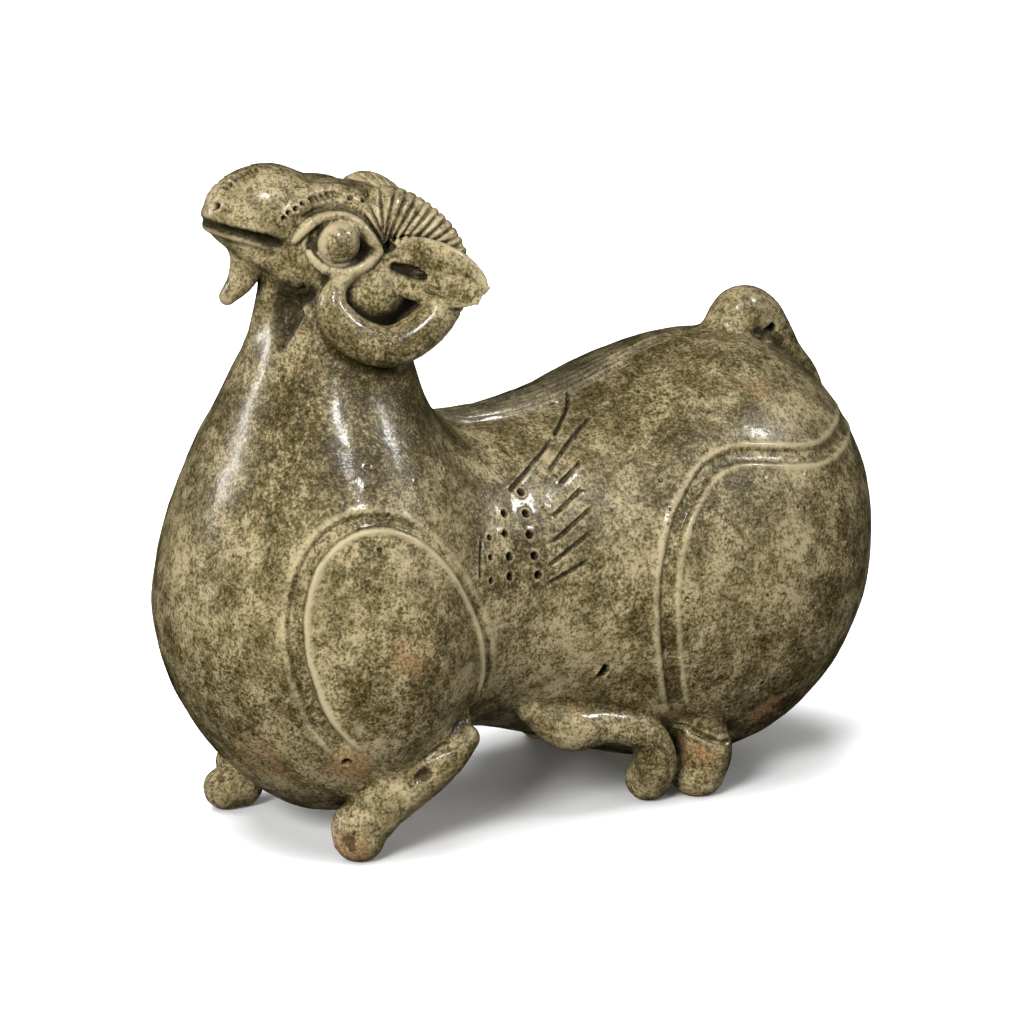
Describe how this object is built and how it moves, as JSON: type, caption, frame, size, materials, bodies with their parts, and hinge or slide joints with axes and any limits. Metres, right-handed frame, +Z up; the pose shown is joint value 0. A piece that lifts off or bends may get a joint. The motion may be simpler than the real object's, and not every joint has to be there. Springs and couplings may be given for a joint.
{
  "type": "ram figure",
  "caption": "Celadon-glazed stoneware figure of a crouching ram with coiled horns, bulging eyes, a short beard and grooved shoulders and haunches.",
  "frame": {"origin": "middle of the figure's length and width, on the ground it stands on", "axes": "+X from the breast to the tail, so the ram faces -X; +Y to the ram's right; +Z up"},
  "size_m": [0.1634, 0.0794, 0.1374],
  "materials": {
    "celadon_glaze": "glossy mottled olive-green glaze, buff where it is thin"
  },
  "bodies": {
    "root": {"ram_figure": "celadon_glaze"}
  },
  "joints": []
}
